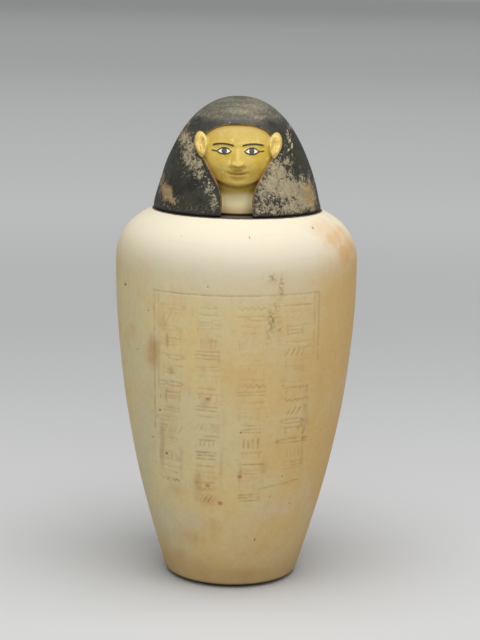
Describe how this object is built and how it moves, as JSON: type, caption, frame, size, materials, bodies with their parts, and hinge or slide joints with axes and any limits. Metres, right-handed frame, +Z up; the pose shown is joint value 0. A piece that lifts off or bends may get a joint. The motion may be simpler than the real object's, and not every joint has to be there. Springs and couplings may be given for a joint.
{
  "type": "canopic jar",
  "caption": "Hollow stone canopic jar with a rounded shoulder and narrow foot, closed by a lift-off wooden lid carved as a human head in a bell-shaped wig.",
  "frame": {"origin": "centre of the jar's flat underside, on the surface that it stands on", "axes": "+Z up along the jar's axis; the carved face looks along -Y; +X is to the viewer's right"},
  "size_m": [0.174, 0.174, 0.35],
  "materials": {
    "limestone": "satin",
    "painted_wood": "worn matt paint"
  },
  "bodies": {
    "root": {"jar_body": "limestone", "head_lid": "painted_wood"}
  },
  "joints": []
}
